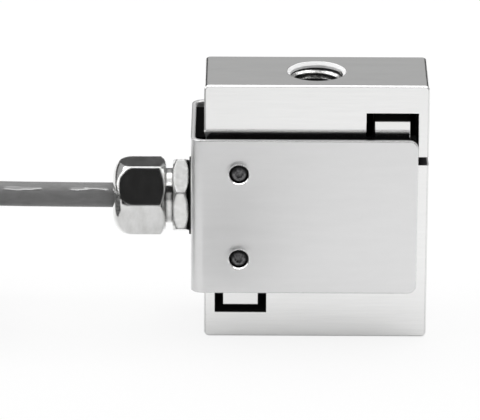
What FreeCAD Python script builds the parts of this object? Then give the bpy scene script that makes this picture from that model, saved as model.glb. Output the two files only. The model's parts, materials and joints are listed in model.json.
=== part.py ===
import FreeCAD, Part
import math
import os

# S-type load cell: a slotted measuring block that stands on its lower face, wrapped by a
# three-sided sheet cover, with a cable gland on the left and its cable wound up beside it.
# Millimetres. X runs to the right, Y to the back, Z up. The origin is the centre of the
# lower thread's mouth, on the face that the block stands on.

Vec = FreeCAD.Vector
X_AXIS = Vec(1, 0, 0)
Y_AXIS = Vec(0, 1, 0)
Z_AXIS = Vec(0, 0, 1)

# ------------------------------------------------------------------ driving sizes
# Measuring block
BLOCK_WIDTH = 50.8
BLOCK_DEPTH = 20.0
BLOCK_HEIGHT = 61.0
BLOCK_CORNER = 1.2            # radius of the four long corners
BLOCK_EDGE_BREAK = 0.3        # chamfer round the front and back faces

# The two slots that make the S, each with a hook round an overload stop
SLOT_WIDTH = 1.95
SLOT_PITCH = 25.0             # height between the two slots' centre lines
SLOT_CROSSING = 14.0          # how far each slot runs past the middle
STOP_INSET = 4.35             # stop's outer side to the block's side
STOP_WIDTH = 7.9
UPPER_STOP_HEIGHT = 8.5       # stop's top above its slot's far side
LOWER_STOP_HEIGHT = 9.1

# Threads at top and bottom, cut through into the slots
THREAD_RADIUS = 6.0
THREAD_MOUTH_RADIUS = 6.7

# Sensing cavity: two bores joined by a gap
CAVITY_RADIUS = 8.0
CAVITY_SPACING = 19.0
CAVITY_GAP = 6.0

# Strain gauges on the thin webs, and the small board that joins their wires
GAUGE_LENGTH = 7.0
GAUGE_HALF_ANGLE = 20.0       # degrees of bore wall either side of the web's thinnest line
GAUGE_THICKNESS = 0.15
BOARD_WIDTH = 4.0
BOARD_LENGTH = 16.0
BOARD_THICKNESS = 0.8
RESISTOR_WIDTH = 1.2
RESISTOR_LENGTH = 2.0
RESISTOR_HEIGHT = 0.6
RESISTOR_SPACING = 5.0
GAUGE_WIRE_RADIUS = 0.15
GAUGE_WIRE_INSET = 3.0        # degrees from the gauge's inner edge
GAUGE_WIRE_CLEARANCE = 0.8    # past the corner between a bore and the gap
GAUGE_WIRE_SPACING = 2.0
CORE_LAND_SPACING = 3.0       # between the cores' ends on the board

# Sheet cover and the rubber behind it
SHEET = 1.0
COVER_FACE_GAP = 2.8          # block's front face to the sheet
COVER_SIDE_GAP = 2.0          # block's left side to the sheet
COVER_BOTTOM = 12.2
COVER_TOP = 49.1
COVER_REACH = 22.9            # front plate's free edge, right of the middle
COVER_BACK_REACH = 24.4       # back plate's free edge, past the upper stop's slot
COVER_BEND = 2.8              # outer radius of the two bends
COVER_CORNER = 2.0            # radius of the free corners
GASKET_INSET = 0.5            # rubber's edge inside the sheet's edge
WINDOW_MARGIN = 0.4           # rubber's window above and below the cavity

# Cover screws and the bushes that they clamp
SCREW_SIDE_INSET = 7.9        # screw axis to the block's left side
SCREW_MIDDLE = 31.1           # height half way between the two rows
SCREW_SPACING = 20.5
SCREW_RADIUS = 1.25
SCREW_DEPTH = 6.0             # thread length in the block
SCREW_HOLE_CLEARANCE = 0.15
SCREW_HEAD_RADIUS = 2.1
SCREW_HEAD_RIM = 0.35
SCREW_HEAD_HEIGHT = 1.35
SCREW_SOCKET = 1.5            # hexagon across flats
SCREW_SOCKET_DEPTH = 0.7
CUP_WIDTH = 0.42              # cup washer's bead, round the screw's head
CUP_HEIGHT = 0.55
BUSH_RADIUS = 2.25

# Cable gland, on an axis that runs out to the left
GLAND_HEIGHT = 30.7
GLAND_THREAD_RADIUS = 6.0
GLAND_HOLE_CLEARANCE = 0.15
LOCK_NUT_THICKNESS = 1.8
LOCK_NUT_FLATS = 15.0
GLAND_WASHER_RADIUS = 8.9
GLAND_WASHER_THICKNESS = 0.5
GLAND_FLATS = 16.0
GLAND_HEX_LENGTH = 3.75
GLAND_HEX_CHAMFER = 0.9       # length along the axis, at both ends
GLAND_HEX_CHAMFER_DEPTH = 0.05
GLAND_HEX_TURN = 24.0         # degrees from the front to a corner
GLAND_NECK_RADIUS = 6.3
GLAND_NECK_LENGTH = 1.55
GLAND_SPIGOT_LENGTH = 7.0     # threaded part inside the dome nut
GLAND_BORE_RADIUS = 4.4
NUT_LENGTH = 12.15
NUT_CHAMFER = 1.3             # length along the axis
NUT_CHAMFER_DEPTH = 0.4       # below the flats at the nut's open end
NUT_NOSE_RADIUS = 4.6         # rounding of the nose
NUT_HEX_TURN = 5.0
NUT_MOUTH_CLEARANCE = 0.35    # round the cable, at the nose
SEAL_LENGTH = 5.5
CLAW_FLANGE = 0.7
CLAW_NOSE_LENGTH = 1.6
CLAW_NOSE_WALL = 0.9
CLAW_SLITS = 6
CLAW_SLIT_WIDTH = 0.5

# Cable: screened, four cores, wound into a hank that lies in line with the cell
CABLE_RADIUS = 2.85
CABLE_END_DEPTH = 2.4         # jacket's end inside the block
PASSAGE_RADIUS = 4.0
CORE_RADIUS = 0.65
CORE_SPREAD = 1.1             # core's axis to the cable's axis
LEAD_STRAIGHT_END = -73.0     # level and straight out of the gland up to here
LEAD_POINTS = [(-86, 0.4, 31.45), (-100, 3.5, 31.45), (-114, 11, 31.4), (-126, 19.5, 31.35),
               (-134.5, 23.1, 31.35)]
HANK_START = -80.0
HANK_LENGTH = 128.0
HANK_INNER_RADIUS = 14.55
OUTER_LAYERS = 5
INNER_LAYERS = 4
TOP_LAP_START = -134.0        # top lap: begins here on the back run,
TOP_LAP_FALL = -146.0         # starts to come down here on the front run,
TOP_LAP_END = -122.0          # and is level with the layer below from here
TIE_WIDTH = 3.6
TIE_THICKNESS = 1.0
TIE_BITE = 0.5                # how far a tie sinks into the turns
TIE_HEAD = 5.4
TIE_HEAD_HEIGHT = 3.4
BACK_TIE_X = -165.0
FRONT_TIE_X = -112.0
TAIL_POINTS = [(-184, -17.4, 25.65), (-170, -15.5, 25.4), (-156, -11, 23.5), (-143, -9, 15),
               (-132, -8.0, 6), (-122, -6.8, 2.85), (-112.5, -5.6, 2.85)]
BARE_LENGTH = 15.0            # cores and screen beyond the cut jacket
BARE_SPACING = 2.1            # between their ends
SCREEN_RADIUS = 0.7

CORE_COLOURS = ("red", "black", "green", "white")

OVERCUT = 1.0                 # how far a cutting shape runs past the face that it cuts

# ------------------------------------------------------------------ worked-out places
BLOCK_LEFT = -BLOCK_WIDTH / 2
BLOCK_RIGHT = BLOCK_WIDTH / 2
BLOCK_FRONT = -BLOCK_DEPTH / 2
BLOCK_MIDDLE = BLOCK_HEIGHT / 2
SLOT_HALF = SLOT_WIDTH / 2
UPPER_SLOT = BLOCK_MIDDLE + SLOT_PITCH / 2
LOWER_SLOT = BLOCK_MIDDLE - SLOT_PITCH / 2
CAVITY_OFFSET = CAVITY_SPACING / 2

WALL_INNER = BLOCK_LEFT - COVER_SIDE_GAP
WALL_OUTER = WALL_INNER - SHEET
PLATE_INNER = BLOCK_DEPTH / 2 + COVER_FACE_GAP
PLATE_OUTER = PLATE_INNER + SHEET

SCREW_X = BLOCK_LEFT + SCREW_SIDE_INSET
SCREW_HEIGHTS = {"upper": SCREW_MIDDLE + SCREW_SPACING / 2,
                 "lower": SCREW_MIDDLE - SCREW_SPACING / 2}
SIDES = {"front": -1, "back": 1}

HEX_START = WALL_OUTER - GLAND_WASHER_THICKNESS
HEX_END = HEX_START - GLAND_HEX_LENGTH
NUT_START = HEX_END - GLAND_NECK_LENGTH
NUT_END = NUT_START - NUT_LENGTH
SPIGOT_END = NUT_START - GLAND_SPIGOT_LENGTH
CLAW_START = SPIGOT_END - CLAW_FLANGE
CLAW_END = CLAW_START - CLAW_NOSE_LENGTH
CLAW_NOSE_RADIUS = CABLE_RADIUS + CLAW_NOSE_WALL
NUT_MOUTH_RADIUS = CABLE_RADIUS + NUT_MOUTH_CLEARANCE

JACKET_START = BLOCK_LEFT + CABLE_END_DEPTH
BOARD_BOTTOM = BLOCK_MIDDLE - CAVITY_GAP / 2
BOARD_TOP = BOARD_BOTTOM + BOARD_THICKNESS

CABLE_DIAMETER = 2 * CABLE_RADIUS
HANK_MIDDLE_RADIUS = HANK_INNER_RADIUS + CABLE_DIAMETER
HANK_OUTER_RADIUS = HANK_MIDDLE_RADIUS + CABLE_DIAMETER
OUTER_HEIGHT = OUTER_LAYERS * CABLE_DIAMETER
INNER_HEIGHT = INNER_LAYERS * CABLE_DIAMETER
TOP_HEIGHT = OUTER_HEIGHT + CABLE_DIAMETER


# ------------------------------------------------------------------ shape helpers
def box(low, high):
    """Box between two corners, each (x, y, z)."""
    size = [high[i] - low[i] for i in range(3)]
    return Part.makeBox(size[0], size[1], size[2], Vec(*low))


def rod(start, end, radius):
    """Cylinder between two points."""
    start, end = Vec(*start), Vec(*end)
    return Part.makeCylinder(radius, (end - start).Length, start, end - start)


def outline(corners):
    """Closed face in the XY plane; each corner is (x, y) or (x, y, radius)."""
    points = [Vec(corner[0], corner[1], 0) for corner in corners]
    edges, ends = [], []
    for i, corner in enumerate(corners):
        here = points[i]
        if len(corner) < 3:
            ends.append((here, here))
            continue
        back = (points[i - 1] - here).normalize()
        ahead = (points[(i + 1) % len(points)] - here).normalize()
        half = back.getAngle(ahead) / 2
        reach = corner[2] / math.tan(half)
        first, last = here + back * reach, here + ahead * reach
        centre = here + (back + ahead).normalize() * (corner[2] / math.sin(half))
        middle = centre + (here - centre).normalize() * corner[2]
        edges.append(Part.Arc(first, middle, last).toShape())
        ends.append((first, last))
    for i, (_, leave) in enumerate(ends):
        arrive = ends[(i + 1) % len(ends)][0]
        if (arrive - leave).Length > 1e-6:
            edges.append(Part.LineSegment(leave, arrive).toShape())
    return Part.Face(Part.Wire(Part.__sortEdges__(edges)))


def upright(face):
    """Turn a face drawn in XY so that its y becomes Z."""
    return face.rotated(Vec(0, 0, 0), X_AXIS, 90)


def plate(corners, y_low, y_high):
    """Solid with an XZ outline, from y_low to y_high."""
    face = upright(outline(corners)).translated(Vec(0, y_low, 0))
    return face.extrude(Vec(0, y_high - y_low, 0))


def frame(x_low, x_high, z_low, z_high, radius=None):
    """Corners of an upright rectangle, rounded where a radius is given."""
    corners = [(x_low, z_low), (x_high, z_low), (x_high, z_high), (x_low, z_high)]
    return [corner + (radius,) for corner in corners] if radius else corners


def turned(profile, height=0.0):
    """Solid turned about an axis along X at the given height; profile is (x, radius)."""
    face = outline(profile)
    return face.revolve(Vec(0, 0, 0), X_AXIS, 360).translated(Vec(0, 0, height))


def hexagon_bar(flats, turn, x_low, x_high, height=0.0):
    """Hexagonal bar along X; a corner lies `turn` degrees above the front."""
    radius = flats / math.sqrt(3)
    angles = [math.radians(turn + 60 * i) for i in range(6)]
    ring = [Vec(x_low, -radius * math.cos(a), radius * math.sin(a)) for a in angles]
    face = Part.Face(Part.makePolygon(ring + ring[:1]))
    return face.extrude(Vec(x_high - x_low, 0, 0)).translated(Vec(0, 0, height))


def round_tube(points, radius):
    """Round bar along straight runs joined by the largest arcs that the runs allow."""
    points = [Vec(*p) for p in points]
    edges, leave = [], points[0]
    for i in range(1, len(points) - 1):
        back, ahead = points[i - 1] - points[i], points[i + 1] - points[i]
        shorter = min(back.Length, ahead.Length)
        turn = math.pi - back.getAngle(ahead)
        reach = 0.45 * shorter
        bend = reach / math.tan(turn / 2)
        back.normalize()
        ahead.normalize()
        first, last = points[i] + back * reach, points[i] + ahead * reach
        inward = (back + ahead).normalize()
        middle = points[i] + inward * (bend / math.cos(turn / 2) - bend)
        edges.append(Part.LineSegment(leave, first).toShape())
        edges.append(Part.Arc(first, middle, last).toShape())
        leave = last
    edges.append(Part.LineSegment(leave, points[-1]).toShape())
    path = Part.Wire(edges)
    circle = Part.Wire(Part.makeCircle(radius, points[0], points[1] - points[0]))
    return path.makePipeShell([circle], True, True)


# ------------------------------------------------------------------ the block
def slot_cut(side, height, rise):
    """One slot: in from a side, up and round its stop, then on past the middle.

    side is 1 for the right side and -1 for the left; rise is the hook's height above the
    slot's centre line, negative for a hook that goes down.
    """
    mouth = side * (BLOCK_RIGHT + OVERCUT)
    outer_leg = side * (BLOCK_RIGHT - STOP_INSET + SLOT_HALF)
    inner_leg = side * (BLOCK_RIGHT - STOP_INSET - STOP_WIDTH - SLOT_HALF)
    end = -side * SLOT_CROSSING
    path = [(mouth, height), (outer_leg, height), (outer_leg, height + rise),
            (inner_leg, height + rise), (inner_leg, height), (end, height)]
    y = BLOCK_DEPTH / 2 + OVERCUT
    pieces = [rod((end, -y, height), (end, y, height), SLOT_HALF)]
    for (x1, z1), (x2, z2) in zip(path, path[1:]):
        # the last run stops at the round end's centre, the others fill their corners
        square = 0 if x2 == end else SLOT_HALF
        low = (min(x1, x2) - square, -y, min(z1, z2) - SLOT_HALF)
        high = (max(x1, x2) + square, y, max(z1, z2) + SLOT_HALF)
        pieces.append(box(low, high))
    return pieces[0].multiFuse(pieces[1:])


def thread_cut(mouth, inward, slot):
    """Tapped hole from a mouth height to the slot, with a 45 degree countersink."""
    sink = THREAD_MOUTH_RADIUS - THREAD_RADIUS
    start = Vec(0, 0, mouth)
    hole = Part.makeCylinder(THREAD_RADIUS, abs(slot - mouth), start, Z_AXIS * inward)
    cone = Part.makeCone(THREAD_MOUTH_RADIUS, THREAD_RADIUS, sink, start, Z_AXIS * inward)
    return hole.fuse(cone)


def cavity_cut():
    """The two bores, the gap between them and the wire passage to the left side."""
    y = BLOCK_DEPTH / 2 + OVERCUT
    cuts = [rod((x, -y, BLOCK_MIDDLE), (x, y, BLOCK_MIDDLE), CAVITY_RADIUS)
            for x in (-CAVITY_OFFSET, CAVITY_OFFSET)]
    cuts.append(box((-CAVITY_OFFSET, -y, BLOCK_MIDDLE - CAVITY_GAP / 2),
                    (CAVITY_OFFSET, y, BLOCK_MIDDLE + CAVITY_GAP / 2)))
    cuts.append(rod((BLOCK_LEFT - OVERCUT, 0, GLAND_HEIGHT), (-CAVITY_OFFSET, 0, GLAND_HEIGHT),
                    PASSAGE_RADIUS))
    return cuts


def measuring_block():
    corners = frame(BLOCK_LEFT, BLOCK_RIGHT, 0, BLOCK_HEIGHT, BLOCK_CORNER)
    block = plate(corners, BLOCK_FRONT, -BLOCK_FRONT)
    rim = [edge for edge in block.Edges
           if abs(abs(edge.CenterOfMass.y) - BLOCK_DEPTH / 2) < 1e-6]
    block = block.makeChamfer(BLOCK_EDGE_BREAK, rim)
    cuts = [
        slot_cut(1, UPPER_SLOT, UPPER_STOP_HEIGHT + SLOT_WIDTH),
        slot_cut(-1, LOWER_SLOT, -LOWER_STOP_HEIGHT - SLOT_WIDTH),
        thread_cut(BLOCK_HEIGHT, -1, UPPER_SLOT),
        thread_cut(0, 1, LOWER_SLOT),
    ] + cavity_cut()
    for side in SIDES.values():
        for height in SCREW_HEIGHTS.values():
            face = side * BLOCK_DEPTH / 2
            bottom = face - side * SCREW_DEPTH
            cuts.append(rod((SCREW_X, face + side * OVERCUT, height),
                            (SCREW_X, bottom, height), SCREW_RADIUS))
    return block.cut(cuts)


# ------------------------------------------------------------------ inside the cavity
def gauge(x, up):
    """Foil gauge bonded to a bore's wall; up is 1 for the upper web, -1 for the lower."""
    inner = CAVITY_RADIUS - GAUGE_THICKNESS
    spread = math.radians(GAUGE_HALF_ANGLE)

    def at(radius, angle):
        return Vec(x + radius * math.sin(angle), 0,
                   BLOCK_MIDDLE + up * radius * math.cos(angle))

    edges = [
        Part.Arc(at(CAVITY_RADIUS, -spread), at(CAVITY_RADIUS, 0),
                 at(CAVITY_RADIUS, spread)).toShape(),
        Part.LineSegment(at(CAVITY_RADIUS, spread), at(inner, spread)).toShape(),
        Part.Arc(at(inner, spread), at(inner, 0), at(inner, -spread)).toShape(),
        Part.LineSegment(at(inner, -spread), at(CAVITY_RADIUS, -spread)).toShape(),
    ]
    face = Part.Face(Part.Wire(edges)).translated(Vec(0, -GAUGE_LENGTH / 2, 0))
    return face.extrude(Vec(0, GAUGE_LENGTH, 0))


def terminal_board():
    return box((-BOARD_WIDTH / 2, -BOARD_LENGTH / 2, BOARD_BOTTOM),
               (BOARD_WIDTH / 2, BOARD_LENGTH / 2, BOARD_TOP))


def trim_resistors():
    parts = []
    for y in (-RESISTOR_SPACING / 2, RESISTOR_SPACING / 2):
        parts.append(box((-RESISTOR_WIDTH / 2, y - RESISTOR_LENGTH / 2, BOARD_TOP),
                         (RESISTOR_WIDTH / 2, y + RESISTOR_LENGTH / 2,
                          BOARD_TOP + RESISTOR_HEIGHT)))
    return Part.makeCompound(parts)


def gauge_wires():
    """Two fine wires from each gauge, round the gap's corner, to the board's nearer edge."""
    wires = []
    edge = math.radians(GAUGE_HALF_ANGLE - GAUGE_WIRE_INSET)
    inner = CAVITY_RADIUS - GAUGE_THICKNESS - GAUGE_WIRE_RADIUS
    half_gap = CAVITY_GAP / 2
    gap_corner = CAVITY_OFFSET - math.sqrt(CAVITY_RADIUS ** 2 - half_gap ** 2)
    lands = {1: (BOARD_WIDTH / 2 - GAUGE_WIRE_RADIUS, BOARD_TOP + GAUGE_WIRE_RADIUS),
             -1: (BOARD_WIDTH / 2 + GAUGE_WIRE_RADIUS, BOARD_TOP - BOARD_THICKNESS / 2)}
    for side in (-1, 1):
        for up, (land_x, land_z) in lands.items():
            start = (CAVITY_OFFSET - inner * math.sin(edge),
                     BLOCK_MIDDLE + up * inner * math.cos(edge))
            corner = (gap_corner + GAUGE_WIRE_CLEARANCE,
                      BLOCK_MIDDLE + up * (half_gap - GAUGE_WIRE_CLEARANCE))
            for y in (-GAUGE_WIRE_SPACING / 2, GAUGE_WIRE_SPACING / 2):
                path = [(side * x, y, z) for x, z in (start, corner, (land_x, land_z))]
                wires.append(round_tube(path, GAUGE_WIRE_RADIUS))
    return Part.makeCompound(wires)


def core_place(index):
    """Where a core lies round the cable's axis, as (y, z), and its rank once fanned out.

    The upper two cores fan out past the lower two, so none crosses another.
    """
    angle = math.radians(45 + 90 * index)
    y, z = CORE_SPREAD * math.cos(angle), CORE_SPREAD * math.sin(angle)
    rank = 1.5 if z > 0 else 0.5
    return y, z, math.copysign(rank, y)


def inner_core(index):
    """One core from the jacket's end, through the left bore, to the board."""
    y, z, rank = core_place(index)
    across = rank * CORE_LAND_SPACING + math.copysign(GAUGE_WIRE_SPACING, rank)
    land = BOARD_TOP + CORE_RADIUS
    return round_tube([(JACKET_START, y, GLAND_HEIGHT + z),
                       (BLOCK_LEFT + SCREW_SIDE_INSET, y, GLAND_HEIGHT + z),
                       (-BOARD_WIDTH, across, land + CORE_RADIUS),
                       (-BOARD_WIDTH / 4, across, land)], CORE_RADIUS)


# ------------------------------------------------------------------ cover, rubber, screws
def cover():
    """One folded sheet: front plate, left wall and back plate."""
    outer = outline([(WALL_OUTER, -PLATE_OUTER, COVER_BEND), (COVER_REACH, -PLATE_OUTER),
                     (COVER_REACH, -PLATE_INNER),
                     (WALL_INNER, -PLATE_INNER, COVER_BEND - SHEET),
                     (WALL_INNER, PLATE_INNER, COVER_BEND - SHEET),
                     (COVER_BACK_REACH, PLATE_INNER), (COVER_BACK_REACH, PLATE_OUTER),
                     (WALL_OUTER, PLATE_OUTER, COVER_BEND)])
    sheet = outer.translated(Vec(0, 0, COVER_BOTTOM))
    sheet = sheet.extrude(Vec(0, 0, COVER_TOP - COVER_BOTTOM))
    limits = [plate([(WALL_OUTER, COVER_BOTTOM), (reach, COVER_BOTTOM, COVER_CORNER),
                     (reach, COVER_TOP, COVER_CORNER), (WALL_OUTER, COVER_TOP)],
                    min(0, y), max(0, y))
              for reach, y in ((COVER_REACH, -PLATE_OUTER), (COVER_BACK_REACH, PLATE_OUTER))]
    sheet = sheet.common(limits[0].fuse(limits[1]))
    radius = SCREW_RADIUS + SCREW_HOLE_CLEARANCE
    y = PLATE_OUTER + OVERCUT
    cuts = [rod((SCREW_X, -y, height), (SCREW_X, y, height), radius)
            for height in SCREW_HEIGHTS.values()]
    cuts.append(rod((WALL_OUTER - OVERCUT, 0, GLAND_HEIGHT), (BLOCK_LEFT, 0, GLAND_HEIGHT),
                    GLAND_THREAD_RADIUS + GLAND_HOLE_CLEARANCE))
    return sheet.cut(cuts)


def face_gasket(side):
    """Soft rubber between a plate and the block, with a window over the cavity."""
    low, high = sorted((side * BLOCK_DEPTH / 2, side * PLATE_INNER))
    reach = COVER_BACK_REACH if side > 0 else COVER_REACH
    pad = plate(frame(BLOCK_LEFT + GASKET_INSET, reach - GASKET_INSET,
                      COVER_BOTTOM + GASKET_INSET, COVER_TOP - GASKET_INSET,
                      COVER_CORNER - GASKET_INSET), low, high)
    window = plate(frame(SCREW_X + BUSH_RADIUS + WINDOW_MARGIN, CAVITY_OFFSET + CAVITY_RADIUS
                         + WINDOW_MARGIN,
                         BLOCK_MIDDLE - CAVITY_RADIUS - WINDOW_MARGIN,
                         BLOCK_MIDDLE + CAVITY_RADIUS + WINDOW_MARGIN, COVER_CORNER),
                   low, high)
    holes = [rod((SCREW_X, low, height), (SCREW_X, high, height), BUSH_RADIUS)
             for height in SCREW_HEIGHTS.values()]
    return pad.cut([window] + holes)


def side_gasket():
    """Soft rubber between the left wall and the block, open round the lock nut."""
    pad = box((WALL_INNER, BLOCK_FRONT, COVER_BOTTOM + GASKET_INSET),
              (BLOCK_LEFT, -BLOCK_FRONT, COVER_TOP - GASKET_INSET))
    nut_corner = LOCK_NUT_FLATS / math.sqrt(3)
    hole = rod((WALL_INNER, 0, GLAND_HEIGHT), (BLOCK_LEFT, 0, GLAND_HEIGHT),
               nut_corner + GLAND_HOLE_CLEARANCE)
    return pad.cut(hole)


def cover_screw(side, height):
    """Button-head screw, from outside the plate into the block."""
    rim = SCREW_HEAD_RIM
    dome = SCREW_HEAD_HEIGHT - rim
    bulge = (SCREW_HEAD_RADIUS ** 2 + dome ** 2) / (2 * dome)
    middle_angle = math.asin(SCREW_HEAD_RADIUS / bulge) / 2
    centre = PLATE_OUTER + SCREW_HEAD_HEIGHT - bulge
    crown = Vec(0, PLATE_OUTER + SCREW_HEAD_HEIGHT, 0)
    shoulder = Vec(SCREW_HEAD_RADIUS, PLATE_OUTER + rim, 0)
    middle = Vec(bulge * math.sin(middle_angle), centre + bulge * math.cos(middle_angle), 0)
    tip = BLOCK_DEPTH / 2 - SCREW_DEPTH
    corners = [shoulder, Vec(SCREW_HEAD_RADIUS, PLATE_OUTER, 0), Vec(SCREW_RADIUS, PLATE_OUTER, 0),
               Vec(SCREW_RADIUS, tip, 0), Vec(0, tip, 0), crown]
    edges = [Part.LineSegment(a, b).toShape() for a, b in zip(corners, corners[1:])]
    edges.append(Part.Arc(crown, middle, shoulder).toShape())
    screw = Part.Face(Part.Wire(edges)).revolve(Vec(0, 0, 0), Y_AXIS, 360)
    socket = hexagon_bar(SCREW_SOCKET, 0, 0, SCREW_SOCKET_DEPTH + OVERCUT)
    socket.rotate(Vec(0, 0, 0), Z_AXIS, 90)
    socket.translate(Vec(0, PLATE_OUTER + SCREW_HEAD_HEIGHT - SCREW_SOCKET_DEPTH, 0))
    screw = screw.cut(socket)
    if side < 0:
        screw.rotate(Vec(0, 0, 0), Z_AXIS, 180)
    return screw.translated(Vec(SCREW_X, 0, height))


def screw_cup(side, height):
    """Cup washer with a rounded bead, outside the plate round the screw's head."""
    inner, outer = SCREW_HEAD_RADIUS, SCREW_HEAD_RADIUS + CUP_WIDTH
    flank = PLATE_OUTER + CUP_HEIGHT - CUP_WIDTH / 2
    top = Vec((inner + outer) / 2, PLATE_OUTER + CUP_HEIGHT, 0)
    corners = [Vec(inner, flank, 0), Vec(inner, PLATE_OUTER, 0), Vec(outer, PLATE_OUTER, 0),
               Vec(outer, flank, 0)]
    edges = [Part.LineSegment(a, b).toShape() for a, b in zip(corners, corners[1:])]
    edges.append(Part.Arc(corners[-1], top, corners[0]).toShape())
    cup = Part.Face(Part.Wire(edges)).revolve(Vec(0, 0, 0), Y_AXIS, 360)
    if side < 0:
        cup.rotate(Vec(0, 0, 0), Z_AXIS, 180)
    return cup.translated(Vec(SCREW_X, 0, height))


def screw_bush(side, height):
    """Bush that keeps the sheet clear of the block."""
    inner, outer = side * BLOCK_DEPTH / 2, side * PLATE_INNER
    ring = rod((SCREW_X, inner, height), (SCREW_X, outer, height), BUSH_RADIUS)
    return ring.cut(rod((SCREW_X, inner, height), (SCREW_X, outer, height), SCREW_RADIUS))


# ------------------------------------------------------------------ gland
def gland_body():
    """Hexagon, neck and the threaded spigots either side, bored through."""
    inner_end = WALL_INNER + LOCK_NUT_THICKNESS
    corner = GLAND_FLATS / math.sqrt(3)
    low = GLAND_FLATS / 2 - GLAND_HEX_CHAMFER_DEPTH
    limit = turned([(HEX_END, 0), (HEX_END, low), (HEX_END + GLAND_HEX_CHAMFER, corner),
                    (HEX_START - GLAND_HEX_CHAMFER, corner), (HEX_START, low),
                    (HEX_START, 0)], GLAND_HEIGHT)
    hexagon = hexagon_bar(GLAND_FLATS, GLAND_HEX_TURN, HEX_END, HEX_START, GLAND_HEIGHT)
    hexagon = hexagon.common(limit)
    wall_spigot = rod((HEX_START, 0, GLAND_HEIGHT), (inner_end, 0, GLAND_HEIGHT),
                      GLAND_THREAD_RADIUS)
    neck = rod((NUT_START, 0, GLAND_HEIGHT), (HEX_END, 0, GLAND_HEIGHT), GLAND_NECK_RADIUS)
    nut_spigot = rod((SPIGOT_END, 0, GLAND_HEIGHT), (NUT_START, 0, GLAND_HEIGHT),
                     GLAND_THREAD_RADIUS)
    bore = rod((SPIGOT_END - OVERCUT, 0, GLAND_HEIGHT), (inner_end + OVERCUT, 0, GLAND_HEIGHT),
               GLAND_BORE_RADIUS)
    return hexagon.multiFuse([wall_spigot, neck, nut_spigot]).cut(bore)


def gland_washer():
    ring = rod((HEX_START, 0, GLAND_HEIGHT), (WALL_OUTER, 0, GLAND_HEIGHT),
               GLAND_WASHER_RADIUS)
    return ring.cut(rod((HEX_START, 0, GLAND_HEIGHT), (WALL_OUTER, 0, GLAND_HEIGHT),
                        GLAND_THREAD_RADIUS))


def gland_lock_nut():
    end = WALL_INNER + LOCK_NUT_THICKNESS
    nut = hexagon_bar(LOCK_NUT_FLATS, 0, WALL_INNER, end, GLAND_HEIGHT)
    return nut.cut(rod((WALL_INNER, 0, GLAND_HEIGHT), (end, 0, GLAND_HEIGHT),
                       GLAND_THREAD_RADIUS))


def gland_dome_nut():
    """Hexagonal cap with a round nose that squeezes the claw onto the cable."""
    corner = GLAND_FLATS / math.sqrt(3)
    low = GLAND_FLATS / 2 - NUT_CHAMFER_DEPTH
    limit = turned([(NUT_END, 0), (NUT_END, corner, NUT_NOSE_RADIUS),
                    (NUT_START - NUT_CHAMFER, corner), (NUT_START, low), (NUT_START, 0)],
                   GLAND_HEIGHT)
    bar = hexagon_bar(GLAND_FLATS, NUT_HEX_TURN, NUT_END, NUT_START, GLAND_HEIGHT)
    past_nose, past_mouth = NUT_END - OVERCUT, NUT_START + OVERCUT
    hollow = turned([(past_mouth, 0), (past_mouth, GLAND_THREAD_RADIUS),
                     (CLAW_START, GLAND_THREAD_RADIUS), (CLAW_END, CLAW_NOSE_RADIUS),
                     (CLAW_END, NUT_MOUTH_RADIUS), (past_nose, NUT_MOUTH_RADIUS),
                     (past_nose, 0)], GLAND_HEIGHT)
    return bar.common(limit).cut(hollow)


def gland_seal():
    """Rubber sleeve between the cable and the gland's bore."""
    end = SPIGOT_END + SEAL_LENGTH
    sleeve = rod((SPIGOT_END, 0, GLAND_HEIGHT), (end, 0, GLAND_HEIGHT), GLAND_BORE_RADIUS)
    return sleeve.cut(rod((SPIGOT_END, 0, GLAND_HEIGHT), (end, 0, GLAND_HEIGHT),
                          CABLE_RADIUS))


def gland_claw():
    """Slit ring that the dome nut closes on the cable."""
    ring = turned([(SPIGOT_END, CABLE_RADIUS), (SPIGOT_END, GLAND_THREAD_RADIUS),
                   (CLAW_START, GLAND_THREAD_RADIUS), (CLAW_END, CLAW_NOSE_RADIUS),
                   (CLAW_END, CABLE_RADIUS)], GLAND_HEIGHT)
    slits = []
    for i in range(CLAW_SLITS):
        slit = box((CLAW_END - OVERCUT, 0, -CLAW_SLIT_WIDTH / 2),
                   (CLAW_START, GLAND_THREAD_RADIUS, CLAW_SLIT_WIDTH / 2))
        slit.rotate(Vec(0, 0, 0), X_AXIS, 360 / CLAW_SLITS * i)
        slits.append(slit.translated(Vec(0, 0, GLAND_HEIGHT)))
    return ring.cut(slits)


# ------------------------------------------------------------------ cable
def oblong(radius, height):
    """Upright bar with half-round ends, as far inside the hank's ends as its sides."""
    margin = HANK_OUTER_RADIUS - radius
    low, high = HANK_START - HANK_LENGTH + margin + radius, HANK_START - margin - radius
    bar = box((low, -radius, 0), (high, radius, height))
    ends = [rod((x, 0, 0), (x, 0, height), radius) for x in (low, high)]
    return bar.multiFuse(ends).removeSplitter()


def top_lap_limits():
    """What the outer column's top lap leaves out: the right end, and its fall in front."""
    past = HANK_START + OVERCUT
    back = box((TOP_LAP_START, 0, OUTER_HEIGHT),
               (past, HANK_OUTER_RADIUS + OVERCUT, TOP_HEIGHT + OVERCUT))
    front = plate([(TOP_LAP_FALL, TOP_HEIGHT), (TOP_LAP_END, OUTER_HEIGHT),
                   (past, OUTER_HEIGHT), (past, TOP_HEIGHT + OVERCUT),
                   (TOP_LAP_FALL, TOP_HEIGHT + OVERCUT)],
                  -HANK_OUTER_RADIUS - OVERCUT, 0)
    return [back, front]


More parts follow.
